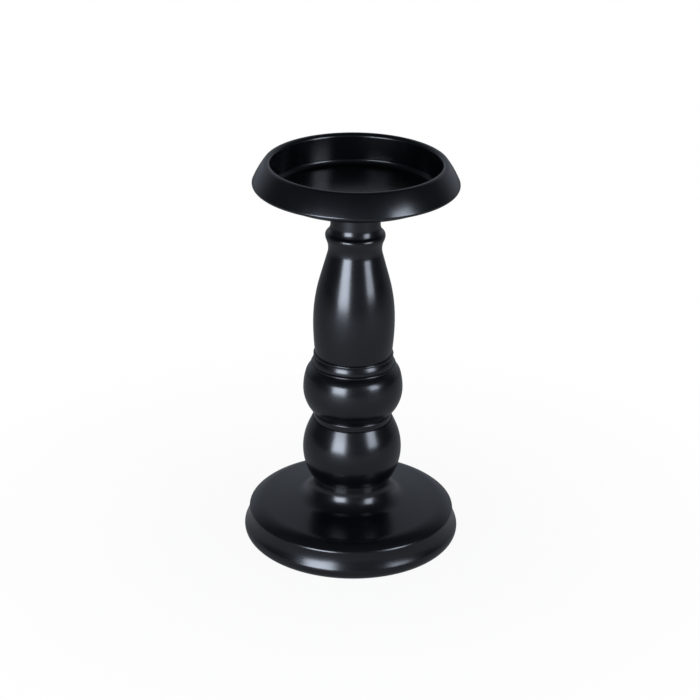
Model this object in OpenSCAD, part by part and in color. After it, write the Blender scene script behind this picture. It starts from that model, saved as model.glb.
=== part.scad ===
// Pillar candle holder: a rolled candle dish and a rolled base joined by hollow
// turned beads, all drawn together by one long rod. The origin is on the floor,
// at the centre of the base, and +Z runs up the stem.

/* [Base] */
// Widest diameter of the base skirt
base_d = 114; // [104:1:126]
// Thickness of the rolled base sheet
base_t = 1.2; // [1:0.1:1.6]
// Radius of the skirt where it rolls under
skirt_roll = 5; // [4.4:0.1:5.6]
// Width of the flat rim that the skirt turns in under the base
rim_w = 3; // [2:0.1:4]
// How far the face of the skirt leans in from upright, in degrees
skirt_lean = 24; // [20:0.5:26]
// Length of that face
skirt_l = 0.9; // [0.5:0.1:3]
// Radius of the hollow between the skirt and the tier
hollow_r = 21.1; // [17:0.1:25]
// Lean at which the hollow meets the edge of the tier
tier_lean = 4; // [2:0.5:7]
// Radius of the edge of the tier
tier_edge_r = 2.2; // [1.8:0.1:3]
// Lean at which that edge passes into the shoulder
shoulder_lean = 44; // [38:1:50]
// Radius of the shoulder
shoulder_r = 12.4; // [11:0.1:14]
// Slope of the top of the base, in degrees
base_slope = 6; // [3:0.5:10]
// Radius of the cove that sweeps up to the seat
cove_r = 10.5; // [9:0.1:12]
// Height of the upright edge of the seat above the cove
seat_edge = 3.8; // [2.5:0.1:5]
// Diameter of the seat that carries the stem
seat_d = 40; // [38:0.5:42]
// Thickness of the seat plate
seat_t = 2.5; // [2.4:0.1:4]

/* [Base filling] */
// Thickness of the felt that the holder stands on
felt_t = 3.2; // [2.6:0.1:3.6]
// Gap between the felt and the turned-in rim
felt_gap = 0.2; // [0.1:0.1:1]
// Thickness of the cover board
cover_t = 2; // [1.5:0.1:3]
// Gap between the edge of the cover board and the roll of the skirt
cover_gap = 0.5; // [0.2:0.1:1.5]
// Gap between the cast weight and the wall of the tier
weight_gap = 6.2; // [4:0.1:8]
// Diameter of the hole through the weight
weight_bore_d = 40; // [34:1:50]
// Thickness of the weight
weight_t = 11; // [6:0.5:13]
// Width of the slope cut on the upper edge of the weight
weight_chamfer = 3; // [1:0.5:5]

/* [Lower ball] */
// Widest diameter of the lower ball
low_ball_d = 52; // [48:0.5:56]
// Height of the lower ball
low_ball_h = 32.1; // [30:0.1:34]
// Height of its widest line above its foot
low_ball_mid = 14.5; // [12:0.1:17]
// Radius of its belly below the widest line
low_ball_low_r = 29; // [24:0.5:34]
// Radius of its belly above the widest line
low_ball_up_r = 31; // [27:0.5:34]
// Tilt at which the belly turns straight towards the ring
low_ball_turn = 24.5; // [20:0.5:27]
// Radius of its upper edge
low_ball_edge_r = 0.4; // [0.2:0.1:0.6]

/* [Waist ring] */
// How far the ring stands in from the upper edge of the lower ball
waist_step = 0.6; // [0.4:0.1:1.2]
// Height of the ring
waist_h = 3.6; // [2.5:0.1:5]
// Radius of its upper edge
waist_edge_r = 0.9; // [0.4:0.1:1.5]

/* [Upper ball] */
// How far the upper ball stands out past the lower one
up_ball_out = 0.1; // [0:0.1:1]
// Height of its widest line above its foot
up_ball_mid = 13.6; // [12:0.1:15]
// Radius of its belly below the widest line
up_ball_low_r = 18.5; // [17:0.5:22]
// Radius of its belly above the widest line
up_ball_up_r = 31; // [26:0.5:36]
// Tilt at which the belly turns onto its shoulder
up_ball_turn = 16; // [13:0.5:18]
// Radius of the shoulder under the collar
up_ball_shoulder_r = 8; // [7:0.1:9]
// Tilt at which the shoulder meets the collar
up_ball_top_tilt = 58; // [50:1:64]

/* [Collar] */
// Diameter of the lip at the foot of the collar
collar_d = 44.4; // [42:0.2:46]
// Radius of that lip
collar_lip_r = 0.8; // [0.5:0.1:1]
// Angle through which the lip is rounded above its widest line
collar_lip_turn = 60; // [45:5:75]
// How far the band above the lip stands in from it
collar_step = 0.9; // [0.7:0.1:1.3]
// Radius to which the band swells
collar_band_r = 8; // [7:0.5:11]
// Height of the collar
collar_h = 7.2; // [6.6:0.1:7.8]
// Radius of the bead that ends the collar
collar_bead_r = 0.8; // [0.6:0.1:1]
// Angle from the widest line of the bead down to the groove under it
collar_bead_turn = 60; // [45:5:75]
// How far the foot of the baluster stands in from the band
collar_ledge_w = 1.2; // [0.9:0.1:1.5]

/* [Baluster] */
// How much the widest line of the baluster stands out past its foot
baluster_swell = 1.1; // [0.8:0.1:2]
// Height of the widest line above the foot
baluster_mid = 17.7; // [14:0.1:22]
// Radius of the long curve above the widest line
baluster_up_r = 88; // [76:1:98]
// Tilt of the straight taper
baluster_tilt = 15.5; // [14:0.1:17]
// Height of the narrow throat above the foot
throat_h = 57.8; // [54:0.1:64]
// Radius of the throat
throat_r = 11.5; // [9:0.5:14]
// How much the bead stands out past the throat
bead_out = 1.6; // [1:0.1:2.4]
// Radius of the lower side of the bead
bead_low_r = 5.6; // [4:0.1:8]
// Radius of the upper side of the bead
bead_up_r = 2; // [1.5:0.1:3]
// How far the foot of the neck stands in from the bead
bead_top_in = 0.7; // [0.4:0.1:1.2]

/* [Neck] */
// How much the foot of the neck widens
neck_flare = 1.9; // [1.5:0.1:2.6]
// Radius of the small curve at the foot of the neck
neck_foot_r = 2; // [1.4:0.1:2.5]
// Tilt of the flare where it leaves the bead
neck_foot_tilt = 65; // [55:1:75]
// Tilt at which the flare passes to its long curve
neck_turn_tilt = 30; // [25:1:40]
// Height of the neck
neck_h = 20.2; // [18:0.1:26]

/* [Candle dish] */
// Diameter inside the dish
dish_bore_d = 86.6; // [80:0.2:94]
// Depth of the dish from its lip to its floor
dish_depth = 16.4; // [14:0.1:20]
// Thickness of the rolled dish sheet
dish_t = 1; // [0.8:0.1:1.4]
// Radius between the floor and the wall of the dish
dish_floor_r = 3; // [2:0.1:4]
// Radius of the rolled lip
lip_r = 2; // [1.7:0.1:2.8]
// Tilt of the outer face where it leaves the lip
dish_tilt_top = 36; // [32:0.5:40]
// Tilt of the outer face where it reaches the bottom edge
dish_tilt_low = 23.5; // [18:0.5:26]
// Radius of the gentle curve of the outer face
dish_face_r = 52; // [44:1:60]
// Radius inside the edge that is rolled in at the bottom
dish_edge_r = 0.4; // [0.2:0.1:0.8]
// Angle below level at which that edge ends
dish_edge_turn = 100; // [90:5:120]

/* [Rod and fasteners] */
// Diameter of the tie rod
rod_d = 8; // [6:0.5:9]
// Clearance between the rod and each plain hole
rod_gap = 0.25; // [0.1:0.05:0.5]
// Clearance between the rod and each nut
thread_gap = 0.05; // [0.02:0.01:0.1]
// How far the rod passes its lower nut
rod_tail = 3; // [1:0.5:5]
// Slope cut on each end of the rod
rod_chamfer = 0.8; // [0.3:0.1:1]
// Diameter of the clamp washer under the seat
clamp_d = 34; // [32:0.5:35.5]
// Thickness of the clamp washer
clamp_t = 2.5; // [1.5:0.1:4]
// Diameter of the spring washer
spring_d = 13; // [11.5:0.5:16]
// Thickness of the spring washer
spring_t = 2; // [1.5:0.1:3]
// Width of the slit in the spring washer
spring_slit = 1.2; // [0.8:0.1:2]
// Width across the flats of the lower nut
nut_flats = 13; // [12:0.5:16]
// Height of the lower nut
nut_h = 6.5; // [4:0.1:7]
// Diameter of the threaded boss welded under the dish
boss_d = 16; // [13:0.5:18]
// Height of the boss
boss_h = 8; // [6:0.5:10]
// Diameter of the flange on top of the boss
boss_flange_d = 19; // [16:0.5:21]
// Thickness of that flange
boss_flange_t = 1.5; // [1:0.1:2.5]
// Clearance round the boss inside the neck
boss_gap = 0.4; // [0.2:0.1:0.8]
// Gap between the end of the rod and the floor of the dish
rod_end_gap = 0.5; // [0.3:0.1:1.5]

/* [Fits inside the stem] */
// Diameter of the spigots that centre one piece on the next
spigot_d = 29; // [27:0.5:30]
// Height of each spigot inside the piece below
spigot_h = 2; // [1.5:0.1:2.2]
// Diameter of the spigot under the neck
neck_spigot_d = 16; // [13:0.5:19]
// Clearance round a spigot
fit_gap = 0.15; // [0.1:0.05:0.3]
// Clearance below a spigot
end_gap = 0.2; // [0.1:0.05:0.4]
// Diameter of the hole at each end of a hollow piece
core_d = 22; // [18:0.5:23]
// Thickness of the wall of a hollow piece
core_wall = 3.5; // [3:0.1:4.5]
// Thickness of the ends of a hollow piece
core_end = 4; // [3.4:0.1:4.6]
// Radius of the corners inside a hollow piece
core_r = 4; // [2:0.5:5]

/* [Hidden] */

$fn = 96;
// Steps in each rounded stretch of an outline
arc_steps = 8;
// A length that takes a cut clear of the face it leaves
past = 0.5;

black = [0.055, 0.055, 0.062];
steel = [0.62, 0.63, 0.65];
iron = [0.24, 0.24, 0.25];
board = [0.45, 0.36, 0.26];
felt = [0.08, 0.08, 0.085];

rod_r = rod_d / 2;
rod_hole_r = rod_r + rod_gap;
thread_r = rod_r + thread_gap;
core_in_r = core_d / 2;
spigot_r = spigot_d / 2;
socket_r = spigot_r + fit_gap;
socket_h = spigot_h + end_gap;

// Base, from the floor up
base_r = base_d / 2;
seat_r = seat_d / 2;
rim_h = felt_t - base_t;
rim_out_r = base_r - skirt_roll;
rim_in_r = rim_out_r - rim_w;
weight_z = felt_t + cover_t;
roll_z = rim_h + skirt_roll;
skirt_top = [rim_out_r, roll_z] + polar(skirt_roll, skirt_lean) + polar(skirt_l, 90 + skirt_lean);
tier_foot = skirt_top + polar(hollow_r, skirt_lean) - polar(hollow_r, tier_lean);
tier_top = tier_foot + polar(tier_edge_r, shoulder_lean) - polar(tier_edge_r, tier_lean);
shoulder_top = tier_top + polar(shoulder_r, 90 - base_slope) - polar(shoulder_r, shoulder_lean);
cove_foot = [seat_r, shoulder_top.y + (shoulder_top.x - seat_r) * tan(base_slope)];
weight_r = tier_foot.x - base_t - weight_gap;
seat_h = cove_foot.y + cove_r * tan((90 - base_slope) / 2) + seat_edge;

// Fasteners under the seat, from the seat down
seat_under_z = seat_h - seat_t;
clamp_z = seat_under_z - clamp_t;
spring_z = clamp_z - spring_t;
nut_z = spring_z - nut_h;

// Joints of the stem, from the seat up
low_ball_r = low_ball_d / 2;
up_ball_r = low_ball_r + up_ball_out;
waist_z = seat_h + low_ball_h;
up_ball_z = waist_z + waist_h;
up_shoulder_h = up_ball_mid + up_ball_up_r * sin(up_ball_turn);
up_ball_h = up_shoulder_h + up_ball_shoulder_r * (sin(up_ball_top_tilt) - sin(up_ball_turn));
collar_z = up_ball_z + up_ball_h;
baluster_z = collar_z + collar_h;

// Radius of the lower ball at its upper edge
low_belly_h = low_ball_mid + low_ball_up_r * sin(low_ball_turn);
low_belly_r = low_ball_r - low_ball_up_r * (1 - cos(low_ball_turn));
low_top_r = low_belly_r - (low_ball_h - low_belly_h) * tan(low_ball_turn);
waist_r = low_top_r - waist_step;

// Radii of the collar and the baluster, from the collar's lip inwards
collar_lip = collar_d / 2;
collar_r = collar_lip - collar_step;
foot_r = collar_r - collar_ledge_w;
baluster_r = foot_r + baluster_swell;
taper_h = throat_h - baluster_mid - (baluster_up_r + throat_r) * sin(baluster_tilt);
taper_in = (baluster_up_r + throat_r) * (1 - cos(baluster_tilt)) + taper_h * tan(baluster_tilt);
throat_in_r = baluster_r - taper_in;

// Bead above the throat: its lower side and the throat meet in one ogee
bead_span = throat_r + bead_low_r;
bead_turn = acos(1 - bead_out / bead_span);
bead_h = throat_h + bead_span * sin(bead_turn);
bead_r = throat_in_r + bead_out;
bead_cut = acos(1 - bead_top_in / bead_up_r);
baluster_h = bead_h + bead_up_r * sin(bead_cut);

// Neck and dish
neck_z = baluster_z + baluster_h;
neck_r = bead_r - bead_top_in - neck_flare;
neck_small_w = neck_foot_r * (cos(neck_turn_tilt) - cos(neck_foot_tilt));
neck_long_r = (neck_flare - neck_small_w) / (1 - cos(neck_turn_tilt));
dish_z = neck_z + neck_h + dish_t;
lip_z = dish_z + dish_depth;
dish_r = dish_bore_d / 2;
dish_roll = dish_t + dish_edge_r;
dish_under_z = dish_z - dish_t;
rod_top_z = dish_under_z - rod_end_gap;
rod_foot_z = nut_z - rod_tail;

function unit(v) = v / norm(v);
function turn(a) = a > 180 ? a - 360 : a < -180 ? a + 360 : a;
function back(v) = [for (i = [len(v) - 1:-1:0]) v[i]];
function polar(q, a) = q * [cos(a), sin(a)];

// Arc of radius q about centre c, from angle a to angle b
function arc(c, q, a, b) = [for (i = [0:arc_steps]) c + polar(q, a + (b - a) * i / arc_steps)];

// Corner p between a and b, rounded by an arc of radius q
function corner(a, p, b, q) =
    let (u = unit(a - p), v = unit(b - p), half = acos(u * v) / 2)
    let (o = p + unit(u + v) * q / sin(half), s = p + u * q / tan(half) - o, e = p + v * q / tan(half) - o)
    let (from = atan2(s.y, s.x), sweep = turn(atan2(e.y, e.x) - from))
    arc(o, q, from, from + sweep);

// Curve that leaves p and passes through face tilts: each step is [radius, tilt, next tilt]
function chain(p, steps, i = 0) =
    i == len(steps) ? [] :
    let (q = steps[i][0], a = steps[i][1], b = steps[i][2])
    let (run = arc(p - polar(q, a), q, a, b))
    concat(run, chain(run[arc_steps], steps, i + 1));

// Rolled sheet of the base at depth t below its outer face, from the rim up to the seat
function base_skin(t) =
    let (hollow = [-hollow_r - t, skirt_lean, tier_lean])
    let (edge = [tier_edge_r - t, tier_lean, shoulder_lean])
    let (shoulder = [shoulder_r - t, shoulder_lean, 90 - base_slope])
    let (top = shoulder_top - polar(t, 90 - base_slope))
    let (foot = [seat_r - t, top.y + (top.x - seat_r + t) * tan(base_slope)])
    concat(
        [[rim_in_r, rim_h + t]],
        arc([rim_out_r, roll_z], skirt_roll - t, -90, skirt_lean),
        chain(skirt_top - polar(t, skirt_lean), [hollow, edge, shoulder]),
        corner(top, foot, [foot.x, seat_h], cove_r + t)
    );

module base_shell() {
    color(black)
        rotate_extrude()
            polygon(concat(
                base_skin(0),
                [[seat_r, seat_h], [socket_r, seat_h], [socket_r, seat_under_z], [seat_r - base_t, seat_under_z]],
                back(base_skin(base_t))
            ));
}

module felt_pad() {
    color(felt)
        cylinder(r = rim_in_r - felt_gap, h = felt_t);
}

module base_cover() {
    color(board)
        translate([0, 0, felt_t])
            cylinder(r = rim_out_r - cover_gap, h = cover_t);
}

module base_weight() {
    color(iron)
        translate([0, 0, weight_z])
            rotate_extrude()
                polygon([
                    [weight_bore_d / 2, 0],
                    [weight_r, 0],
                    [weight_r, weight_t - weight_chamfer],
                    [weight_r - weight_chamfer, weight_t],
                    [weight_bore_d / 2, weight_t]
                ]);
}

// Cored hollow of a bead from height a to height b, in a wall whose widest radius is r
function core(r, a, b) =
    let (low = [r - core_wall, a + core_end], high = [r - core_wall, b - core_end])
    concat(
        [[core_in_r, a]],
        corner([core_in_r, a], low, high, core_r),
        corner(low, high, [core_in_r, b], core_r),
        [[core_in_r, b]]
    );

module lower_ball() {
    widest = [low_ball_r, low_ball_mid];
    foot_tilt = asin(low_ball_mid / low_ball_low_r);
    foot_z = -seat_t + end_gap;
    cup_z = low_ball_h - socket_h;
    belly = chain(widest, [[low_ball_up_r, 0, low_ball_turn]]);
    top = [low_top_r, low_ball_h];
    color(black)
        translate([0, 0, seat_h])
            rotate_extrude()
                polygon(concat(
                    [[spigot_r, foot_z], [spigot_r, 0]],
                    back(chain(widest, [[low_ball_low_r, 0, -foot_tilt]])),
                    belly,
                    corner(belly[arc_steps], top, [socket_r, low_ball_h], low_ball_edge_r),
                    [[socket_r, low_ball_h], [socket_r, cup_z], [core_in_r, cup_z]],
                    back(core(low_ball_r, core_end, cup_z - core_end)),
                    [[core_in_r, foot_z]]
                ));
}

module waist_ring() {
    color(black)
        translate([0, 0, waist_z])
            rotate_extrude()
                polygon(concat(
                    [[socket_r, 0], [waist_r, 0]],
                    corner([waist_r, 0], [waist_r, waist_h], [socket_r, waist_h], waist_edge_r),
                    [[socket_r, waist_h]]
                ));
}

module upper_ball() {
    widest = [up_ball_r, up_ball_mid];
    foot_tilt = asin(up_ball_mid / up_ball_low_r);
    foot_z = -waist_h - spigot_h;
    cup_z = up_ball_h - socket_h;
    shoulder = [up_ball_shoulder_r, up_ball_turn, up_ball_top_tilt];
    color(black)
        translate([0, 0, up_ball_z])
            rotate_extrude()
                polygon(concat(
                    [[spigot_r, foot_z], [spigot_r, 0]],
                    back(chain(widest, [[up_ball_low_r, 0, -foot_tilt]])),
                    chain(widest, [[up_ball_up_r, 0, up_ball_turn], shoulder]),
                    [[socket_r, up_ball_h], [socket_r, cup_z], [core_in_r, cup_z]],
                    back(core(up_ball_r, core_end, cup_z - core_end)),
                    [[core_in_r, foot_z]]
                ));
}

module collar_ring() {
    lip = arc([collar_lip - collar_lip_r, collar_lip_r], collar_lip_r, -90, collar_lip_turn);
    bead = arc([foot_r, collar_h - collar_bead_r], collar_bead_r, -collar_bead_turn, 90);
    band_z = lip[arc_steps].y + (lip[arc_steps].x - collar_r) / tan(collar_lip_turn);
    band_turn = asin((bead[0].y - band_z) / collar_band_r);
    color(black)
        translate([0, 0, collar_z])
            rotate_extrude()
                polygon(concat(
                    [[spigot_r, -spigot_h], [spigot_r, 0]],
                    lip,
                    arc([collar_r - collar_band_r, band_z], collar_band_r, 0, band_turn),
                    bead,
                    [[socket_r, collar_h], [socket_r, collar_h - socket_h]],
                    [[core_in_r, collar_h - socket_h], [core_in_r, -spigot_h]]
                ));
}

module baluster() {
    widest = [baluster_r, baluster_mid];
    throat = [throat_in_r, throat_h];
    bead = [bead_r, bead_h];
    belly_r = (pow(baluster_mid, 2) + pow(baluster_swell, 2)) / 2 / baluster_swell;
    foot_tilt = asin(baluster_mid / belly_r);
    cup_r = neck_spigot_d / 2 + fit_gap;
    cup_z = baluster_h - socket_h;
    web_z = throat_h - 2 * core_end;
    hollow = [
        [rod_hole_r, web_z],
        [throat_in_r - core_end, web_z - core_end],
        [baluster_r - core_wall, baluster_mid],
        [baluster_r - core_wall, core_end],
        [core_in_r, core_end / 2]
    ];
    color(black)
        translate([0, 0, baluster_z])
            rotate_extrude()
                polygon(concat(
                    [[spigot_r, -spigot_h], [spigot_r, 0]],
                    back(chain(widest, [[belly_r, 0, -foot_tilt]])),
                    chain(widest, [[baluster_up_r, 0, baluster_tilt]]),
                    back(chain(throat, [[-throat_r, 0, baluster_tilt]])),
                    chain(throat, [[-throat_r, 0, -bead_turn]]),
                    back(chain(bead, [[bead_low_r, 0, -bead_turn]])),
                    chain(bead, [[bead_up_r, 0, bead_cut]]),
                    [[cup_r, baluster_h], [cup_r, cup_z], [rod_hole_r, cup_z], hollow[0]],
                    corner(hollow[0], hollow[1], hollow[2], core_r),
                    corner(hollow[1], hollow[2], hollow[3], core_r),
                    corner(hollow[2], hollow[3], hollow[4], core_r),
                    [hollow[4], [core_in_r, -spigot_h]]
                ));
}

module neck() {
    cup_r = boss_flange_d / 2 + boss_gap;
    cup_z = neck_h - boss_h - boss_gap;
    small = [-neck_foot_r, neck_foot_tilt, neck_turn_tilt];
    long = [-neck_long_r, neck_turn_tilt, 0];
    color(black)
        translate([0, 0, neck_z])
            rotate_extrude()
                polygon(concat(
                    [[rod_hole_r, -spigot_h], [neck_spigot_d / 2, -spigot_h], [neck_spigot_d / 2, 0]],
                    chain([neck_r + neck_flare, 0], [small, long]),
                    [[neck_r, neck_h], [cup_r, neck_h], [cup_r, cup_z], [rod_hole_r, cup_z]]
                ));
}

// Rolled sheet of the dish at depth t below its shown face, from the centre out to the rolled edge
function dish_skin(t) =
    let (lip_c = [dish_r + lip_r, lip_z - lip_r])
    let (lip_end = lip_c + polar(lip_r - t, dish_tilt_top))
    let (face = [dish_face_r - t, dish_tilt_top, dish_tilt_low])
    let (edge = [dish_roll - t, dish_tilt_low, -dish_edge_turn])
    concat(
        [[0, dish_z - t]],
        arc([dish_r - dish_floor_r, dish_z + dish_floor_r], dish_floor_r + t, -90, 0),
        arc(lip_c, lip_r - t, 180, dish_tilt_top),
        chain(lip_end, [face, edge])
    );

module candle_dish() {
    color(black)
        rotate_extrude()
            polygon(concat(dish_skin(0), back(dish_skin(dish_t))));
}

module ring(outer, inner, z, h) {
    translate([0, 0, z])
        difference() {
            cylinder(r = outer, h = h);
            translate([0, 0, -past])
                cylinder(r = inner, h = h + 2 * past);
        }
}

module dish_boss() {
    color(steel)
        translate([0, 0, dish_under_z])
            rotate_extrude()
                polygon([
                    [thread_r, -boss_h],
                    [boss_d / 2, -boss_h],
                    [boss_d / 2, -boss_flange_t],
                    [boss_flange_d / 2, -boss_flange_t],
                    [boss_flange_d / 2, 0],
                    [thread_r, 0]
                ]);
}

module clamp_washer() {
    color(steel)
        ring(clamp_d / 2, rod_hole_r, clamp_z, clamp_t);
}

module spring_washer() {
    color(steel)
        difference() {
            ring(spring_d / 2, rod_hole_r, spring_z, spring_t);
            translate([0, -spring_slit / 2, spring_z - past])
                cube([spring_d, spring_slit, spring_t + 2 * past]);
        }
}

module lower_nut() {
    color(steel)
        translate([0, 0, nut_z])
            difference() {
                cylinder(r = nut_flats / 2 / cos(30), h = nut_h, $fn = 6);
                translate([0, 0, -past])
                    cylinder(r = thread_r, h = nut_h + 2 * past);
            }
}

module tie_rod() {
    color(steel)
        rotate_extrude()
            polygon([
                [0, rod_foot_z],
                [rod_r - rod_chamfer, rod_foot_z],
                [rod_r, rod_foot_z + rod_chamfer],
                [rod_r, rod_top_z - rod_chamfer],
                [rod_r - rod_chamfer, rod_top_z],
                [0, rod_top_z]
            ]);
}

candle_dish();
dish_boss();
neck();
baluster();
collar_ring();
upper_ball();
waist_ring();
lower_ball();
base_shell();
base_weight();
base_cover();
felt_pad();
tie_rod();
clamp_washer();
spring_washer();
lower_nut();
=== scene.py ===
"""Pillar candle holder: lathe-turned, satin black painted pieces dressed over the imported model.

Lengths in the classes are millimetres, as on a drawing, except in the studio and its lamps,
where they are metres. Meshes are made in metres.
"""

import logging
import math
from dataclasses import dataclass, field
from enum import Enum

import bmesh
import bpy
from mathutils import Matrix, Vector


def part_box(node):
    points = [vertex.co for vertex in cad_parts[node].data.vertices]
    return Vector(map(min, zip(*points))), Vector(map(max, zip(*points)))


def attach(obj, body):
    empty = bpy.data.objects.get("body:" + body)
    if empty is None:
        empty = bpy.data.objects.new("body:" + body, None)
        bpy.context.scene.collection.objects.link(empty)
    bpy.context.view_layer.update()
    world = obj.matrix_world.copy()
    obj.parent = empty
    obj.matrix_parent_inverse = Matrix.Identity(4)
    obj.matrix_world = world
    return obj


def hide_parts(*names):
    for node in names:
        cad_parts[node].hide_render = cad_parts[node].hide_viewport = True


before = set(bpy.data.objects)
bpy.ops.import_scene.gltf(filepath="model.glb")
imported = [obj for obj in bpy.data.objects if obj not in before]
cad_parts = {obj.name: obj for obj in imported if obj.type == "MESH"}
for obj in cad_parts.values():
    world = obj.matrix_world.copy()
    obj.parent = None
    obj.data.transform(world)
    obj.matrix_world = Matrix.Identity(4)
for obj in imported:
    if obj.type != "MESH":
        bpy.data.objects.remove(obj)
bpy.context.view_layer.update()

log = logging.getLogger("candle_holder")

MM = 0.001
ROOT = "root"

COOL_WHITE = "#e4eeff"
PLAIN_WHITE = "#ffffff"

# Sockets of Blender's mix node when it mixes colours
MIX_FIRST, MIX_SECOND, MIX_RESULT = 6, 7, 2

Point = tuple[float, float]


def sind(angle: float) -> float:
    """Returns the sine of an angle in degrees."""
    return math.sin(math.radians(angle))


def cosd(angle: float) -> float:
    """Returns the cosine of an angle in degrees."""
    return math.cos(math.radians(angle))


def tand(angle: float) -> float:
    """Returns the tangent of an angle in degrees."""
    return math.tan(math.radians(angle))


def asind(ratio: float) -> float:
    """Returns the angle in degrees whose sine is given."""
    return math.degrees(math.asin(ratio))


def acosd(ratio: float) -> float:
    """Returns the angle in degrees whose cosine is given."""
    return math.degrees(math.acos(ratio))


class Slot(Enum):
    """The record's material slots."""

    PAINT = "black_paint"
    STEEL = "zinc_steel"
    IRON = "grey_iron"
    BOARD = "fibre_board"
    FELT = "black_felt"


@dataclass(frozen=True)
class Fineness:
    """How finely a turned piece is divided."""

    round_steps: int = 192
    arc_step: float = 4.0
    least_arc_steps: int = 6
    merge: float = 1e-4


FINENESS = Fineness()


class Section:
    """Half section of a turned piece, drawn in millimetres as radius and height.

    It is drawn as one or more chains of lines and arcs, whose ends meet in one closed loop.
    """

    def __init__(self) -> None:
        """Starts an empty section."""
        self.shape = bmesh.new()
        self.last: bmesh.types.BMVert | None = None

    def start(self, radius: float, height: float) -> "Section":
        """Starts a chain at a point.

        Args:
            radius: Distance of the point from the axis.
            height: Its height.

        Returns:
            The section itself.
        """
        self.last = self.shape.verts.new((radius, 0.0, height))
        return self

    def here(self) -> Point:
        """Returns the last point's radius and height."""
        return self.last.co.x, self.last.co.z

    def to(self, radius: float, height: float) -> "Section":
        """Draws a straight line to a point.

        Args:
            radius: Distance of the point from the axis.
            height: Its height.

        Returns:
            The section itself.
        """
        before = self.last
        self.start(radius, height)
        self.shape.edges.new((before, self.last))
        return self

    def sweep(self, centre: Point, angle: float) -> "Section":
        """Draws an arc from the last point.

        Args:
            centre: Centre of the arc.
            angle: Angle to go round it, in degrees, positive from the outward direction towards the top.

        Returns:
            The section itself.
        """
        steps = max(FINENESS.least_arc_steps, math.ceil(abs(angle) / FINENESS.arc_step))
        drawn = bmesh.ops.spin(
            self.shape,
            geom=[self.last],
            cent=(centre[0], 0.0, centre[1]),
            axis=(0.0, -1.0, 0.0),
            angle=math.radians(angle),
            steps=steps,
        )
        self.last = [part for part in drawn["geom_last"] if isinstance(part, bmesh.types.BMVert)][0]
        return self

    def face(self, radius: float, tilt: float, next_tilt: float) -> "Section":
        """Goes on along a curved face.

        Args:
            radius: Radius of the curve; a hollow one is negative.
            tilt: Tilt of the outward normal where the curve starts, in degrees above level.
            next_tilt: Tilt where it ends.

        Returns:
            The section itself.
        """
        across, up = self.here()
        centre = (across - radius * cosd(tilt), up - radius * sind(tilt))
        return self.sweep(centre, next_tilt - tilt)

    def corner(self, before: Point, tip: Point, after: Point, radius: float) -> "Section":
        """Draws a line to a rounded corner, and the corner.

        Args:
            before: A point on the line that leads to the corner.
            tip: The corner itself.
            after: A point on the line that leaves it.
            radius: Radius of the rounding.

        Returns:
            The section itself.
        """
        apex = Vector(tip)
        to_before = (Vector(before) - apex).normalized()
        to_after = (Vector(after) - apex).normalized()
        half = to_before.angle(to_after) / 2
        centre = apex + (to_before + to_after).normalized() * radius / math.sin(half)
        first = apex + to_before * radius / math.tan(half)
        side = to_before.x * to_after.y - to_before.y * to_after.x
        self.to(*first)
        return self.sweep(centre[:], math.copysign(180 - math.degrees(2 * half), -side))

    def turn(self, name: str, lift: float = 0.0) -> bpy.types.Object:
        """Turns the section round the axis of the stem.

        Args:
            name: Name of the piece.
            lift: Height in millimetres that the section is raised by.

        Returns:
            The new piece, in metres, with its place in its mesh.
        """
        shape = self.shape
        bmesh.ops.remove_doubles(shape, verts=shape.verts[:], dist=FINENESS.merge)
        bmesh.ops.spin(
            shape,
            geom=shape.verts[:] + shape.edges[:],
            cent=(0.0, 0.0, 0.0),
            axis=(0.0, 0.0, 1.0),
            angle=math.tau,
            steps=FINENESS.round_steps,
            use_merge=True,
        )
        bmesh.ops.remove_doubles(shape, verts=shape.verts[:], dist=FINENESS.merge)
        bmesh.ops.recalc_face_normals(shape, faces=shape.faces[:])
        bmesh.ops.translate(shape, verts=shape.verts[:], vec=(0.0, 0.0, lift))
        bmesh.ops.scale(shape, verts=shape.verts[:], vec=(MM, MM, MM))
        mesh = bpy.data.meshes.new(name)
        shape.to_mesh(mesh)
        shape.free()
        return show(name, mesh)


def show(name: str, mesh: bpy.types.Mesh, crease: float = 22.0) -> bpy.types.Object:
    """Links a mesh to the scene as a smooth piece.

    Args:
        name: Name of the piece.
        mesh: Its mesh.
        crease: Angle in degrees above which an edge stays sharp.

    Returns:
        The piece.
    """
    mesh.shade_smooth()
    mesh.set_sharp_from_angle(angle=math.radians(crease))
    piece = bpy.data.objects.new(name, mesh)
    bpy.context.scene.collection.objects.link(piece)
    return piece


def add(
    tree: bpy.types.NodeTree,
    kind: str,
    settings: dict[str, object] | None = None,
    inputs: dict[str, object] | None = None,
) -> bpy.types.Node:
    """Adds one shader node.

    Args:
        tree: Node tree that takes the node.
        kind: Blender's name of the node's type.
        settings: Properties to set on the node.
        inputs: Values or output sockets for its inputs, by the inputs' names or numbers.

    Returns:
        The node.
    """
    node = tree.nodes.new(kind)
    for key, value in (settings or {}).items():
        setattr(node, key, value)
    for key, value in (inputs or {}).items():
        if isinstance(value, bpy.types.NodeSocket):
            tree.links.new(value, node.inputs[key])
        else:
            node.inputs[key].default_value = value
    return node


def linear(hex_colour: str) -> tuple[float, float, float, float]:
    """Returns the linear colour of an sRGB hex value such as "#1b1b1e", by the standard's formula."""
    channels = [int(hex_colour[i:i + 2], 16) / 255 for i in (1, 3, 5)]
    red, green, blue = [c / 12.92 if c <= 0.04045 else ((c + 0.055) / 1.055) ** 2.4 for c in channels]
    return red, green, blue, 1.0


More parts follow.
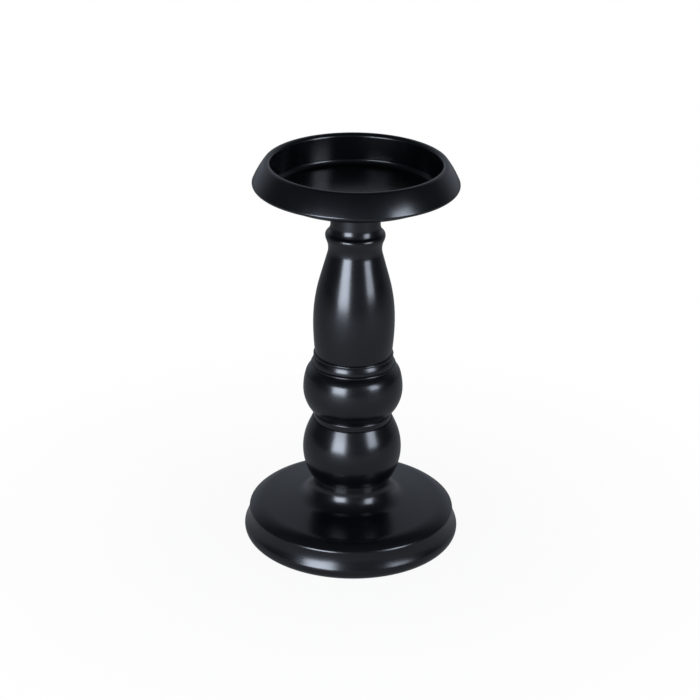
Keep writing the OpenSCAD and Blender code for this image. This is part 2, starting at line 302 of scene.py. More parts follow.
def empty_material(name: str) -> tuple[bpy.types.Material, bpy.types.NodeTree, bpy.types.NodeSocket]:
    """Starts a material.

    Args:
        name: Name of the material.

    Returns:
        The material, its empty node tree, and the socket with the place on the piece.
    """
    material = bpy.data.materials.new(name)
    material.use_nodes = True
    tree = material.node_tree
    tree.nodes.clear()
    return material, tree, add(tree, "ShaderNodeTexCoord").outputs["Object"]


def noise(
    tree: bpy.types.NodeTree, place: bpy.types.NodeSocket, size_mm: float, **inputs: float
) -> bpy.types.NodeSocket:
    """Adds a noise pattern.

    Args:
        tree: Node tree that takes the node.
        place: Place on the piece.
        size_mm: Size of the pattern's largest spots.
        inputs: Other inputs of the node.

    Returns:
        Socket with the pattern.
    """
    node = add(tree, "ShaderNodeTexNoise", inputs={"Vector": place, "Scale": 1 / (size_mm * MM), **inputs})
    return node.outputs["Fac"]


def tint(
    tree: bpy.types.NodeTree, share: bpy.types.NodeSocket, shade: str, other_shade: str
) -> bpy.types.NodeSocket:
    """Mixes two shades.

    Args:
        tree: Node tree that takes the node.
        share: Share of the other shade.
        shade: Hex value of the first shade.
        other_shade: Hex value of the other shade.

    Returns:
        Socket with the colour.
    """
    node = add(tree, "ShaderNodeMix", {"data_type": "RGBA"}, {
        "Factor": share, MIX_FIRST: linear(shade), MIX_SECOND: linear(other_shade)})
    return node.outputs[MIX_RESULT]


def ramp(
    tree: bpy.types.NodeTree,
    value: bpy.types.NodeSocket,
    span: Point = (0.0, 1.0),
    levels: Point = (0.0, 1.0),
    curve: str = "LINEAR",
) -> bpy.types.NodeSocket:
    """Maps a value from one span to another, and holds it at the ends.

    Args:
        tree: Node tree that takes the node.
        value: The value.
        span: Values where the ramp starts and ends.
        levels: Results at its start and end.
        curve: Blender's name of the curve between them.

    Returns:
        Socket with the result.
    """
    node = add(tree, "ShaderNodeMapRange", {"interpolation_type": curve}, {
        "Value": value, "From Min": span[0], "From Max": span[1], "To Min": levels[0], "To Max": levels[1]})
    return node.outputs["Result"]


def sums(
    tree: bpy.types.NodeTree, operation: str, *values: float | bpy.types.NodeSocket
) -> bpy.types.NodeSocket:
    """Does one sum with values or sockets.

    Args:
        tree: Node tree that takes the node.
        operation: Blender's name of the sum.
        values: What goes into it.

    Returns:
        Socket with the result.
    """
    return add(tree, "ShaderNodeMath", {"operation": operation}, dict(enumerate(values))).outputs["Value"]


def blend(
    tree: bpy.types.NodeTree,
    share: bpy.types.NodeSocket,
    first: bpy.types.NodeSocket,
    second: bpy.types.NodeSocket,
) -> bpy.types.NodeSocket:
    """Mixes two shaders.

    Args:
        tree: Node tree that takes the node.
        share: Share of the second.
        first: The first shader.
        second: The second.

    Returns:
        Socket with the mixed shader.
    """
    return add(tree, "ShaderNodeMixShader", inputs={0: share, 1: first, 2: second}).outputs["Shader"]


def relief(
    tree: bpy.types.NodeTree,
    height: bpy.types.NodeSocket,
    strength: float,
    depth_mm: float,
    **inputs: bpy.types.NodeSocket,
) -> bpy.types.NodeSocket:
    """Adds a fine relief to the surface.

    Args:
        tree: Node tree that takes the node.
        height: Pattern of the relief.
        strength: How strongly it shows.
        depth_mm: Its depth.
        inputs: Other inputs of the node.

    Returns:
        Socket with the surface's new normal.
    """
    node = add(tree, "ShaderNodeBump", inputs={
        "Height": height, "Strength": strength, "Distance": depth_mm * MM, **inputs})
    return node.outputs["Normal"]


def coat(tree: bpy.types.NodeTree, inputs: dict[str, object]) -> None:
    """Ends a node tree with its surface.

    Args:
        tree: Node tree that takes the nodes.
        inputs: Values or sockets for the surface, by the inputs' names.
    """
    surface = add(tree, "ShaderNodeBsdfPrincipled", inputs=inputs)
    add(tree, "ShaderNodeOutputMaterial", inputs={"Surface": surface.outputs["BSDF"]})


@dataclass(frozen=True)
class SatinPaint:
    """Black powder coat, sprayed and baked: a slightly bluish black with a soft satin gloss.

    The coat flows into shallow waves a few millimetres across, which only show at the edges
    of highlights, and carries a faint mottle in its gloss.
    """

    shade: str = "#050608"
    pale_shade: str = "#08090c"
    roughness: float = 0.23
    roughness_spread: float = 0.02
    ior: float = 1.5
    mottle_mm: float = 14.0
    mottle_span: Point = (0.3, 0.7)
    wave_mm: float = 2.4
    wave_strength: float = 0.5
    grain_mm: float = 0.45
    grain_strength: float = 0.04
    relief_mm: float = 0.004

    def make(self) -> bpy.types.Material:
        """Returns the material."""
        material, tree, place = empty_material("satin_black_powder_coat")
        mottle = noise(tree, place, self.mottle_mm, Detail=3.0, Roughness=0.6)
        grain = noise(tree, place, self.grain_mm, Detail=1.0)
        waves = noise(tree, place, self.wave_mm, Detail=1.0)
        glossy, dull = self.roughness - self.roughness_spread, self.roughness + self.roughness_spread
        fine = relief(tree, grain, self.grain_strength, self.relief_mm)
        coat(tree, {
            "Base Color": tint(tree, mottle, self.shade, self.pale_shade),
            "Roughness": ramp(tree, mottle, self.mottle_span, (glossy, dull)),
            "IOR": self.ior,
            "Normal": relief(tree, waves, self.wave_strength, self.relief_mm, Normal=fine),
        })
        return material


@dataclass(frozen=True)
class ZincPlate:
    """Bright zinc plate over turned steel: pale grey with fine cutting lines round the axis."""

    shade: str = "#a9adb3"
    dull_shade: str = "#8b8f94"
    roughness: float = 0.26
    dull_roughness: float = 0.42
    line_mm: float = 0.35
    line_stretch: float = 0.05
    line_strength: float = 0.25
    line_depth_mm: float = 0.01
    cloud_mm: float = 4.0

    def make(self) -> bpy.types.Material:
        """Returns the material."""
        material, tree, place = empty_material("zinc_plated_steel")
        stretched = add(tree, "ShaderNodeMapping", inputs={
            "Vector": place, "Scale": (self.line_stretch, self.line_stretch, 1.0)})
        lines = noise(tree, stretched.outputs["Vector"], self.line_mm, Detail=2.0)
        clouds = noise(tree, place, self.cloud_mm, Detail=4.0)
        coat(tree, {
            "Base Color": tint(tree, clouds, self.shade, self.dull_shade),
            "Metallic": 1.0,
            "Roughness": ramp(tree, clouds, levels=(self.roughness, self.dull_roughness)),
            "Normal": relief(tree, lines, self.line_strength, self.line_depth_mm),
        })
        return material


@dataclass(frozen=True)
class SandCastIron:
    """Sand-cast iron under a wash of grey primer: dull, with the grit of the mould all over."""

    shade: str = "#4a4a4b"
    rust_shade: str = "#4f443c"
    rust_span: Point = (0.52, 0.7)
    patch_mm: float = 9.0
    roughness: float = 0.72
    metallic: float = 0.35
    grit_mm: float = 0.6
    grit_strength: float = 0.5
    grit_depth_mm: float = 0.08

    def make(self) -> bpy.types.Material:
        """Returns the material."""
        material, tree, place = empty_material("sand_cast_iron")
        patches = noise(tree, place, self.patch_mm, Detail=5.0, Roughness=0.65)
        grit = add(tree, "ShaderNodeTexVoronoi", inputs={"Vector": place, "Scale": 1 / (self.grit_mm * MM)})
        rust = ramp(tree, patches, self.rust_span)
        coat(tree, {
            "Base Color": tint(tree, rust, self.shade, self.rust_shade),
            "Roughness": self.roughness,
            "Metallic": self.metallic,
            "Normal": relief(tree, grit.outputs["Distance"], self.grit_strength, self.grit_depth_mm),
        })
        return material


@dataclass(frozen=True)
class HardBoard:
    """Pressed wood-fibre board: warm brown with short matted fibres and no gloss."""

    shade: str = "#6d5337"
    fibre_shade: str = "#86694a"
    roughness: float = 0.85
    fibre_mm: float = 0.5
    fibre_strength: float = 0.4
    fibre_depth_mm: float = 0.05

    def make(self) -> bpy.types.Material:
        """Returns the material."""
        material, tree, place = empty_material("pressed_fibre_board")
        fibres = noise(tree, place, self.fibre_mm, Detail=6.0, Roughness=0.7, Distortion=1.5)
        coat(tree, {
            "Base Color": tint(tree, fibres, self.shade, self.fibre_shade),
            "Roughness": self.roughness,
            "Normal": relief(tree, fibres, self.fibre_strength, self.fibre_depth_mm),
        })
        return material


@dataclass(frozen=True)
class WoolFelt:
    """Pressed wool felt, dyed black: matted fibres with a soft pale bloom at grazing angles."""

    shade: str = "#1c1c1e"
    fibre_shade: str = "#34343a"
    roughness: float = 0.95
    fibre_mm: float = 0.7
    fibre_strength: float = 0.8
    fibre_depth_mm: float = 0.15
    clump_mm: float = 3.0
    bloom: float = 0.4
    bloom_roughness: float = 0.5

    def make(self) -> bpy.types.Material:
        """Returns the material."""
        material, tree, place = empty_material("pressed_wool_felt")
        fibres = noise(tree, place, self.fibre_mm, Detail=5.0, Roughness=0.75, Distortion=2.0)
        clumps = noise(tree, place, self.clump_mm, Detail=2.0)
        coat(tree, {
            "Base Color": tint(tree, sums(tree, "MULTIPLY", fibres, clumps), self.shade, self.fibre_shade),
            "Roughness": self.roughness,
            "Sheen Weight": self.bloom,
            "Sheen Roughness": self.bloom_roughness,
            "Normal": relief(tree, fibres, self.fibre_strength, self.fibre_depth_mm),
        })
        return material


@dataclass
class Finishes:
    """The finish of each material slot."""

    materials: dict[Slot, bpy.types.Material] = field(init=False)

    def __post_init__(self) -> None:
        """Makes every finish once."""
        self.materials = {
            Slot.PAINT: SatinPaint().make(),
            Slot.STEEL: ZincPlate().make(),
            Slot.IRON: SandCastIron().make(),
            Slot.BOARD: HardBoard().make(),
            Slot.FELT: WoolFelt().make(),
        }

    def dress(self, piece: bpy.types.Object, slot: Slot) -> None:
        """Gives a piece the finish of a slot.

        Args:
            piece: A new piece or a CAD node's object.
            slot: The slot that its finish comes from.
        """
        piece.data.materials.clear()
        piece.data.materials.append(self.materials[slot])

    def settle(self, piece: bpy.types.Object, node: str, slot: Slot) -> None:
        """Dresses a new piece, and lets it stand for its CAD node on the root body.

        Args:
            piece: The new piece.
            node: The CAD node that it replaces.
            slot: The slot that its finish comes from.
        """
        self.dress(piece, slot)
        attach(piece, ROOT)
        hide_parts(node)
        log.info("%s: %d faces, %s", piece.name, len(piece.data.polygons), slot.value)


def foot_of(node: str) -> float:
    """Returns the height of a CAD node's lowest point, in millimetres."""
    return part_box(node)[0][2] / MM


def top_of(node: str) -> float:
    """Returns the height of a CAD node's highest point, in millimetres."""
    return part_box(node)[1][2] / MM


def radius_of(node: str) -> float:
    """Returns the widest radius of a CAD node, in millimetres."""
    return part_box(node)[1][0] / MM


@dataclass
class Fits:
    """Sizes of the hollows and spigots that the pieces of the stem share."""

    spigot: float = 14.5
    socket: float = 14.65
    socket_depth: float = 2.2
    spigot_depth: float = 2.0
    core: float = 11.0
    core_wall: float = 3.5
    core_end: float = 4.0
    core_round: float = 4.0
    rod_hole: float = 4.25

    def inside(self, section: Section, widest: float, foot: float, height: float) -> None:
        """Draws the inside of a ball from the spigot under its foot to its upper face.

        Args:
            section: The ball's section, whose last point is on the outer edge of its foot.
            widest: Widest outer radius of the ball.
            foot: Height of the spigot's end.
            height: Height of the ball.
        """
        cup = height - self.socket_depth
        low, high = self.core_end, cup - self.core_end
        inner = widest - self.core_wall
        bottom, top = (inner, low + self.core_end), (inner, high - self.core_end)
        section.to(self.spigot, 0.0).to(self.spigot, foot).to(self.core, foot).to(self.core, low)
        section.corner((self.core, low), bottom, top, self.core_round)
        section.corner(bottom, top, (self.core, high), self.core_round)
        section.to(self.core, high).to(self.core, cup).to(self.socket, cup).to(self.socket, height)


@dataclass
class BaseShell:
    """The stepped base of rolled sheet: rim, skirt, hollow, tier edge, shoulder, top, cove and seat."""

    widest: float = 57.0
    sheet: float = 1.2
    rim_width: float = 3.0
    roll: float = 5.0
    skirt_lean: float = 24.0
    skirt_face: float = 0.9
    hollow: float = 21.1
    tier_lean: float = 4.0
    tier_edge: float = 2.2
    shoulder_lean: float = 44.0
    shoulder: float = 12.4
    top_slope: float = 6.0
    cove: float = 10.5
    seat: float = 20.0
    seat_plate: float = 2.5
    seat_hole: float = 14.65

    def skin(self, section: Section, depth: float, floor: float, seat_height: float) -> None:
        """Draws the sheet from the rim to the seat.

        Args:
            section: The section to draw in.
            depth: Depth below the outer face.
            floor: Height of the rim's underside.
            seat_height: Height of the seat.
        """
        rim = self.widest - self.roll
        section.start(rim - self.rim_width, floor + depth).to(rim, floor + depth)
        section.face(self.roll - depth, -90, self.skirt_lean)
        radius, height = section.here()
        inward, upward = self.skirt_face * sind(self.skirt_lean), self.skirt_face * cosd(self.skirt_lean)
        section.to(radius - inward, height + upward)
        section.face(-self.hollow - depth, self.skirt_lean, self.tier_lean)
        section.face(self.tier_edge - depth, self.tier_lean, self.shoulder_lean)
        section.face(self.shoulder - depth, self.shoulder_lean, 90 - self.top_slope)
        radius, height = section.here()
        neck = self.seat - depth
        foot = (neck, height + (radius - neck) * tand(self.top_slope))
        section.corner((radius, height), foot, (neck, seat_height), self.cove + depth)

    def build(self, finishes: Finishes) -> None:
        """Makes the shell in place of its CAD node.

        Args:
            finishes: The finishes.
        """
        floor, seat = foot_of("base_shell"), top_of("base_shell")
        section = Section()
        self.skin(section, self.sheet, floor, seat)
        section.to(self.seat - self.sheet, seat - self.seat_plate).to(self.seat_hole, seat - self.seat_plate)
        section.to(self.seat_hole, seat).to(self.seat, seat)
        self.skin(section, 0.0, floor, seat)
        section.to(self.seat, seat)
        rim = self.widest - self.roll - self.rim_width
        section.start(rim, floor).to(rim, floor + self.sheet)
        finishes.settle(section.turn("base_shell_paint"), "base_shell", Slot.PAINT)


@dataclass
class BaseFilling:
    """What closes and weights the hollow base: cast ring, cover board and felt."""

    weight_bore: float = 20.0
    weight_slope: float = 3.0
    cast_round: float = 0.8
    felt_round: float = 0.7
    board_round: float = 0.3

    def build(self, finishes: Finishes) -> None:
        """Makes the three pieces in place of their CAD nodes.

        Args:
            finishes: The finishes.
        """
        finishes.settle(self.weight(), "base_weight", Slot.IRON)
        finishes.settle(self.disc("base_cover", self.board_round), "base_cover", Slot.BOARD)
        finishes.settle(self.disc("felt_pad", self.felt_round), "felt_pad", Slot.FELT)

    def weight(self) -> bpy.types.Object:
        """Returns the cast ring, with its edges rounded as the sand leaves them."""
        low, high, rim = foot_of("base_weight"), top_of("base_weight"), radius_of("base_weight")
        middle = (self.weight_bore, (low + high) / 2)
        tips = [
            middle,
            (self.weight_bore, low),
            (rim, low),
            (rim, high - self.weight_slope),
            (rim - self.weight_slope, high),
            (self.weight_bore, high),
            middle,
        ]
        section = Section().start(*middle)
        for before, tip, after in zip(tips, tips[1:], tips[2:]):
            section.corner(before, tip, after, self.cast_round)
        return section.to(*middle).turn("base_weight_casting")

    @staticmethod
    def disc(node: str, rounding: float) -> bpy.types.Object:
        """Makes a disc with soft edges.

        Args:
            node: CAD node that gives its place and size.
            rounding: Radius of its edges.

        Returns:
            The disc.
        """
        low, high, rim = foot_of(node), top_of(node), radius_of(node)
        section = Section().start(0.0, low)
        section.corner((0.0, low), (rim, low), (rim, high), rounding)
        section.corner((rim, low), (rim, high), (0.0, high), rounding)
        return section.to(0.0, high).turn(node + "_disc")


@dataclass
class LowerBall:
    """The ball that stands on the base, and narrows to a crisp edge under the ring."""

    widest: float = 26.0
    middle: float = 14.5
    low_curve: float = 29.0
    high_curve: float = 31.0
    turn_tilt: float = 24.5
    edge: float = 0.4
    height: float = 32.1

    def build(self, finishes: Finishes, fits: Fits) -> float:
        """Makes the ball in place of its CAD node.

        Args:
            finishes: The finishes.
            fits: The hollow's sizes.

        Returns:
            Radius of its upper edge.
        """
        seat = top_of("base_shell")
        lean = asind(self.middle / self.low_curve)
        section = Section().start(self.widest, self.middle).face(self.low_curve, 0, -lean)
        fits.inside(section, self.widest, foot_of("lower_ball") - seat, self.height)
        section.start(self.widest, self.middle).face(self.high_curve, 0, self.turn_tilt)
        shoulder = section.here()
        edge = shoulder[0] - (self.height - shoulder[1]) * tand(self.turn_tilt)
        section.corner(shoulder, (edge, self.height), (fits.socket, self.height), self.edge)
        section.to(fits.socket, self.height)
        finishes.settle(section.turn("lower_ball_paint", seat), "lower_ball", Slot.PAINT)
        return edge


@dataclass
class WaistRing:
    """The ring between the balls, with a rounded upper edge."""

    step: float = 0.6
    edge: float = 0.9

    def build(self, finishes: Finishes, fits: Fits, ball_edge: float) -> None:
        """Makes the ring in place of its CAD node.

        Args:
            finishes: The finishes.
            fits: The hollow's sizes.
            ball_edge: Radius of the lower ball's upper edge.
        """
        low, high = foot_of("waist_ring"), top_of("waist_ring")
        outer = ball_edge - self.step
        section = Section().start(fits.socket, low).to(outer, low)
        section.corner((outer, low), (outer, high), (fits.socket, high), self.edge)
        section.to(fits.socket, high).to(fits.socket, low)
        finishes.settle(section.turn("waist_ring_paint"), "waist_ring", Slot.PAINT)


@dataclass
class UpperBall:
    """The ball under the collar, which closes in a rounded shoulder."""

    widest: float = 26.1
    middle: float = 13.6
    low_curve: float = 18.5
    high_curve: float = 31.0
    turn_tilt: float = 16.0
    shoulder: float = 8.0
    top_tilt: float = 58.0

    def build(self, finishes: Finishes, fits: Fits) -> None:
        """Makes the ball in place of its CAD node.

        Args:
            finishes: The finishes.
            fits: The hollow's sizes.
        """
        seat = top_of("waist_ring")
        lean = asind(self.middle / self.low_curve)
        section = Section().start(self.widest, self.middle).face(self.high_curve, 0, self.turn_tilt)
        section.face(self.shoulder, self.turn_tilt, self.top_tilt)
        height = section.here()[1]
        section.to(fits.socket, height)
        section.start(self.widest, self.middle).face(self.low_curve, 0, -lean)
        fits.inside(section, self.widest, foot_of("upper_ball") - seat, height)
        finishes.settle(section.turn("upper_ball_paint", seat), "upper_ball", Slot.PAINT)


@dataclass
class CollarRing:
    """The collar: a small lip, a swelling band and a bead."""

    lip: float = 22.2
    lip_round: float = 0.8
    lip_turn: float = 60.0
    step: float = 0.9
    band_curve: float = 8.0
    height: float = 7.2
    bead: float = 0.8
    bead_turn: float = 60.0
    ledge: float = 1.2

    def build(self, finishes: Finishes, fits: Fits) -> float:
        """Makes the collar in place of its CAD node.

        Args:
            finishes: The finishes.
            fits: The hollow's sizes.

        Returns:
            Radius at the top of the collar, where the baluster stands.
        """
        band = self.lip - self.step
        foot = band - self.ledge
        cup = self.height - fits.socket_depth
        lip_centre = (self.lip - self.lip_round, self.lip_round)
        section = Section().start(fits.spigot, 0.0).to(lip_centre[0], 0.0)
        section.sweep(lip_centre, 90 + self.lip_turn)
        across, up = section.here()
        band_foot = up + (across - band) / tand(self.lip_turn)
        bead_middle = self.height - self.bead
        groove = bead_middle - self.bead * sind(self.bead_turn)
        lean = asind((groove - band_foot) / self.band_curve)
        section.to(band, band_foot).face(self.band_curve, 0, lean)
        section.to(foot + self.bead * cosd(self.bead_turn), groove).face(self.bead, -self.bead_turn, 90)
        section.to(fits.socket, self.height).to(fits.socket, cup).to(fits.core, cup)
        section.to(fits.core, -fits.spigot_depth).to(fits.spigot, -fits.spigot_depth).to(fits.spigot, 0.0)
        lift = top_of("collar_ring") - self.height
        finishes.settle(section.turn("collar_ring_paint", lift), "collar_ring", Slot.PAINT)
        return foot


@dataclass
class Baluster:
    """The long tapering piece with a throat and a bead on top."""

    swell: float = 1.1
    middle: float = 17.7
    high_curve: float = 88.0
    taper_tilt: float = 15.5
    throat_height: float = 57.8
    throat_curve: float = 11.5
    bead_out: float = 1.6
    bead_low_curve: float = 5.6
    bead_high_curve: float = 2.0
    bead_top_in: float = 0.7
    cup: float = 8.15

    def build(self, finishes: Finishes, fits: Fits, foot: float) -> float:
        """Makes the baluster in place of its CAD node.

        Args:
            finishes: The finishes.
            fits: The hollow's sizes.
            foot: Radius of its foot.

        Returns:
            Radius at the foot of the neck.
        """
        widest = foot + self.swell
        belly = (self.middle**2 + self.swell**2) / 2 / self.swell
        foot_tilt = asind(self.middle / belly)
        ogee = self.throat_curve + self.bead_low_curve
        bead_tilt = acosd(1 - self.bead_out / ogee)
        cut = acosd(1 - self.bead_top_in / self.bead_high_curve)
        section = Section().start(foot, 0.0).face(belly, -foot_tilt, 0)
        section.face(self.high_curve, 0, self.taper_tilt)
        run = self.throat_height - section.here()[1] - self.throat_curve * sind(self.taper_tilt)
        section.to(section.here()[0] - run * tand(self.taper_tilt), section.here()[1] + run)
        section.face(-self.throat_curve, self.taper_tilt, 0)
        throat = section.here()[0]
        section.face(-self.throat_curve, 0, -bead_tilt).face(self.bead_low_curve, -bead_tilt, 0)
        bead = section.here()[0]
        section.face(self.bead_high_curve, 0, cut)
        self.inside(section, fits, widest, throat)
        section.to(fits.core, -fits.spigot_depth).to(fits.spigot, -fits.spigot_depth).to(fits.spigot, 0.0)
        section.to(foot, 0.0)
        finishes.settle(section.turn("baluster_paint", top_of("collar_ring")), "baluster", Slot.PAINT)
        return bead - self.bead_top_in

    def inside(self, section: Section, fits: Fits, widest: float, throat: float) -> None:
        """Draws the cup for the neck and the cored hollow down to the foot.

        Args:
            section: The section, whose last point is the top of the bead.
            fits: The hollow's sizes.
            widest: Widest outer radius.
            throat: Outer radius of the throat.
        """
        top = section.here()[1]
        web = self.throat_height - 2 * fits.core_end
        inner = widest - fits.core_wall
        hollow = [
            (fits.rod_hole, web),
            (throat - fits.core_end, web - fits.core_end),
            (inner, self.middle),
            (inner, fits.core_end),
            (fits.core, fits.core_end / 2),
        ]
        section.to(self.cup, top).to(self.cup, top - fits.socket_depth)
        section.to(fits.rod_hole, top - fits.socket_depth).to(*hollow[0])
        for before, tip, after in zip(hollow, hollow[1:], hollow[2:]):
            section.corner(before, tip, after, fits.core_round)
        section.to(*hollow[-1])


@dataclass
class Neck:
    """The slim cylinder under the dish, which flares at its foot and takes the dish's boss."""

    flare: float = 1.9
    foot_curve: float = 2.0
    foot_tilt: float = 65.0
    turn_tilt: float = 30.0
    height: float = 20.2
    spigot: float = 8.0
    cup: float = 9.9
    cup_depth: float = 8.4

    def build(self, finishes: Finishes, fits: Fits, foot: float) -> None:
        """Makes the neck in place of its CAD node.

        Args:
            finishes: The finishes.
            fits: The hollow's sizes.
            foot: Radius of its foot.
        """
        shaft = foot - self.flare
        small = self.foot_curve * (cosd(self.turn_tilt) - cosd(self.foot_tilt))
        long_curve = (self.flare - small) / (1 - cosd(self.turn_tilt))
        section = Section().start(foot, 0.0)
        section.face(-self.foot_curve, self.foot_tilt, self.turn_tilt).face(-long_curve, self.turn_tilt, 0)
        section.to(shaft, self.height).to(self.cup, self.height).to(self.cup, self.height - self.cup_depth)
        section.to(fits.rod_hole, self.height - self.cup_depth).to(fits.rod_hole, -fits.spigot_depth)
        section.to(self.spigot, -fits.spigot_depth).to(self.spigot, 0.0).to(foot, 0.0)
        finishes.settle(section.turn("neck_paint", top_of("baluster")), "neck", Slot.PAINT)


@dataclass
class CandleDish:
    """The rolled dish: flat floor, upright wall, rolled lip and a sloping outer face."""

    bore: float = 43.3
    sheet: float = 1.0
    depth: float = 16.4
    floor_curve: float = 3.0
    lip: float = 2.0
    top_tilt: float = 36.0
    low_tilt: float = 23.5
    face_curve: float = 52.0
    edge: float = 0.4
    edge_turn: float = 100.0

    def skin(self, section: Section, below: float, lip_height: float) -> None:
        """Draws the sheet from the centre of the floor to the rolled edge.

        Args:
            section: The section to draw in.
            below: Depth below the shown face.
            lip_height: Height of the lip's crest.
        """
        floor = lip_height - self.depth
        corner = (self.bore - self.floor_curve, floor + self.floor_curve)
        section.start(0.0, floor - below).to(corner[0], floor - below).sweep(corner, 90)
        section.to(self.bore + below, lip_height - self.lip)
        section.sweep((self.bore + self.lip, lip_height - self.lip), self.top_tilt - 180)
        section.face(self.face_curve - below, self.top_tilt, self.low_tilt)
        section.face(self.sheet + self.edge - below, self.low_tilt, -self.edge_turn)

    def build(self, finishes: Finishes) -> None:
        """Makes the dish in place of its CAD node.

        Args:
            finishes: The finishes.
        """
        lip = top_of("candle_dish")
        section = Section()
        self.skin(section, self.sheet, lip)
        inner_end = section.here()
        self.skin(section, 0.0, lip)
        section.to(*inner_end)
        finishes.settle(section.turn("candle_dish_paint"), "candle_dish", Slot.PAINT)


@dataclass
class Hardware:
    """The rod and its fasteners, which keep their CAD shapes."""

    nodes: tuple[str, ...] = ("dish_boss", "tie_rod", "clamp_washer", "spring_washer", "lower_nut")

    def build(self, finishes: Finishes) -> None:
        """Gives the CAD nodes their plated finish.

        Args:
            finishes: The finishes.
        """
        for node in self.nodes:
            finishes.dress(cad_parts[node], Slot.STEEL)
            log.info("%s: CAD mesh, %s", node, Slot.STEEL.value)


@dataclass
class PhotoCamera:
    """The camera that took the photograph, placed as its perspective says."""

    distance: float = 1039.6
    height: float = 576.2
    down: float = 24.242
    aside: float = -0.1
    roll: float = 0.889
    lens: float = 112.55
    sensor: float = 36.0

    def build(self) -> None:
        """Makes the camera and hands it to the scene."""
        data = bpy.data.cameras.new("photo_camera")
        data.lens = self.lens
        data.sensor_fit = "HORIZONTAL"
        data.sensor_width = self.sensor
        camera = bpy.data.objects.new("photo_camera", data)
        aim = Matrix.Rotation(math.radians(-self.aside), 4, "Z")
        aim @= Matrix.Rotation(math.radians(90 - self.down), 4, "X")
        aim @= Matrix.Rotation(math.radians(self.roll), 4, "Z")
        camera.matrix_world = Matrix.Translation((0.0, -self.distance * MM, self.height * MM)) @ aim
        bpy.context.scene.collection.objects.link(camera)
        bpy.context.scene.camera = camera
        log.info("camera: %.1f mm away, %.1f degrees down", self.distance, self.down)


@dataclass
class SoftBox:
    """A tall soft light beside the camera, in metres, with its azimuth in degrees to the right of it."""

    name: str
    azimuth: float
    width: float
    low: float
    high: float
    power: float
    reach: float = 0.77

    def build(self) -> None:
        """Makes the lamp, turned to the axis of the stem."""
        data = bpy.data.lights.new(self.name, "AREA")
        data.shape = "RECTANGLE"
        data.size = self.width
        data.size_y = self.high - self.low
        data.energy = self.power
        data.color = linear(COOL_WHITE)[:3]
        lamp = bpy.data.objects.new(self.name, data)
        middle = (self.low + self.high) / 2
        centre = Vector((self.reach * sind(self.azimuth), -self.reach * cosd(self.azimuth), middle))
        lamp.matrix_world = Matrix.Translation(centre) @ Matrix.Rotation(math.radians(self.azimuth), 4, "Z") \
            @ Matrix.Rotation(math.radians(90), 4, "X")
        bpy.context.scene.collection.objects.link(lamp)
        log.info("%s: %.1f W at %.0f degrees", self.name, self.power, self.azimuth)


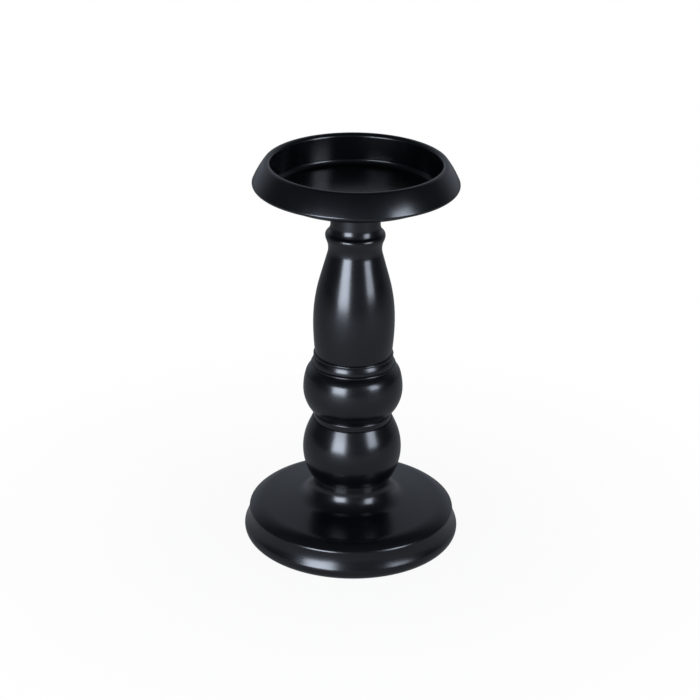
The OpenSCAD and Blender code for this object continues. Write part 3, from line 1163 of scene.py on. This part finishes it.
@dataclass
class Studio:
    """A pale table in a dim room with a pale backdrop, and a soft light at each side, in metres."""

    table_radius: float = 1.5
    table_steps: int = 128
    table_drop: float = 0.00005
    table_shade: str = "#b2b2b2"
    shadow_share: float = 0.06
    shadow_reach: float = 0.3
    gloss_share: float = 0.1
    front_level: float = 0.2
    back_level: float = 0.4
    side_level: float = 0.08
    overhead_level: float = 0.05
    wall_span: Point = (0.25, 0.8)
    ceiling_span: Point = (0.6, 0.95)
    ceiling_lean: float = -0.2
    lamps: tuple[SoftBox, ...] = (
        SoftBox("left_soft_box", azimuth=-31.0, width=0.41, low=0.06, high=0.41, power=7.4),
        SoftBox("right_soft_box", azimuth=51.0, width=0.29, low=0.16, high=0.58, power=4.1),
    )

    def build(self) -> None:
        """Makes the table, the room and the lamps."""
        self.table()
        self.room()
        for lamp in self.lamps:
            lamp.build()

    def shown_white(self, tree: bpy.types.NodeTree) -> bpy.types.NodeSocket:
        """Finds how much of the plain white a ray sees.

        Args:
            tree: Node tree that takes the nodes.

        Returns:
            Socket with all of it for the camera, and the share that the paint mirrors for gloss and glass.
        """
        path = add(tree, "ShaderNodeLightPath").outputs
        mirrored = sums(tree, "MAXIMUM", path["Is Glossy Ray"], path["Is Transmission Ray"])
        part = sums(tree, "MULTIPLY", mirrored, self.gloss_share)
        return sums(tree, "MAXIMUM", path["Is Camera Ray"], part)

    def table(self) -> None:
        """Makes the table top, which keeps a trace of the holder's shadow and is open from below."""
        mesh = bpy.data.meshes.new("table_top")
        shape = bmesh.new()
        bmesh.ops.create_circle(shape, cap_ends=True, segments=self.table_steps, radius=self.table_radius)
        shape.to_mesh(mesh)
        shape.free()
        table = bpy.data.objects.new("table_top", mesh)
        table.location.z = -self.table_drop
        bpy.context.scene.collection.objects.link(table)
        material, tree, place = empty_material("pale_table")
        centre = add(tree, "ShaderNodeVectorMath", {"operation": "LENGTH"}, {0: place}).outputs["Value"]
        clear = ramp(tree, centre, (0.0, self.shadow_reach), (1 - self.shadow_share, 1.0), "SMOOTHSTEP")
        share = sums(tree, "MULTIPLY", self.shown_white(tree), clear)
        matt = add(tree, "ShaderNodeBsdfDiffuse", inputs={"Color": linear(self.table_shade)})
        glow = add(tree, "ShaderNodeEmission", inputs={"Color": linear(PLAIN_WHITE), "Strength": 1.0})
        top = blend(tree, share, matt.outputs["BSDF"], glow.outputs["Emission"])
        below = add(tree, "ShaderNodeNewGeometry").outputs["Backfacing"]
        surface = blend(tree, below, top, add(tree, "ShaderNodeBsdfTransparent").outputs["BSDF"])
        add(tree, "ShaderNodeOutputMaterial", inputs={"Surface": surface})
        table.data.materials.append(material)

    def wall(
        self, tree: bpy.types.NodeTree, depth: bpy.types.NodeSocket, turned: float, level: float
    ) -> bpy.types.NodeSocket:
        """Brightens one end of the room.

        Args:
            tree: Node tree that takes the nodes.
            depth: How far towards the back a ray runs, from -1 to 1.
            turned: 1 for the back wall, -1 for the wall behind the camera.
            level: Brightness of that wall.

        Returns:
            Socket with the light that the wall adds to the side level.
        """
        near, full = self.wall_span
        return ramp(tree, depth, (near * turned, full * turned), (0.0, level - self.side_level), "SMOOTHSTEP")

    def room(self) -> None:
        """Makes the room: pale in front and behind, dimmer at the sides and dark overhead."""
        world = bpy.data.worlds.new("studio_room")
        world.use_nodes = True
        tree = world.node_tree
        tree.nodes.clear()
        ray = add(tree, "ShaderNodeTexCoord").outputs["Generated"]
        part = add(tree, "ShaderNodeSeparateXYZ", inputs={"Vector": ray}).outputs
        back = self.wall(tree, part["Y"], 1, self.back_level)
        front = self.wall(tree, part["Y"], -1, self.front_level)
        level = sums(tree, "ADD", sums(tree, "ADD", back, front), self.side_level)
        leaning = sums(tree, "MULTIPLY_ADD", part["Y"], self.ceiling_lean, part["Z"])
        ceiling = ramp(tree, leaning, self.ceiling_span, curve="SMOOTHSTEP")
        light = add(tree, "ShaderNodeMix", inputs={"Factor": ceiling, "A": level, "B": self.overhead_level})
        dim = add(tree, "ShaderNodeBackground", inputs={
            "Color": linear(COOL_WHITE), "Strength": light.outputs["Result"]})
        white = add(tree, "ShaderNodeBackground", inputs={"Color": linear(PLAIN_WHITE), "Strength": 1.0})
        seen = add(tree, "ShaderNodeLightPath").outputs["Is Camera Ray"]
        surface = blend(tree, seen, dim.outputs["Background"], white.outputs["Background"])
        add(tree, "ShaderNodeOutputWorld", inputs={"Surface": surface})
        bpy.context.scene.world = world


def main() -> None:
    """Builds the holder from the floor up, then the camera and the studio."""
    logging.basicConfig(level=logging.INFO, format="%(message)s")
    finishes = Finishes()
    fits = Fits()
    BaseShell().build(finishes)
    BaseFilling().build(finishes)
    ball_edge = LowerBall().build(finishes, fits)
    WaistRing().build(finishes, fits, ball_edge)
    UpperBall().build(finishes, fits)
    baluster_foot = CollarRing().build(finishes, fits)
    neck_foot = Baluster().build(finishes, fits, baluster_foot)
    Neck().build(finishes, fits, neck_foot)
    CandleDish().build(finishes)
    Hardware().build(finishes)
    PhotoCamera().build()
    Studio().build()
    bpy.context.scene.view_settings.view_transform = "Standard"


if __name__ == "__main__":
    main()
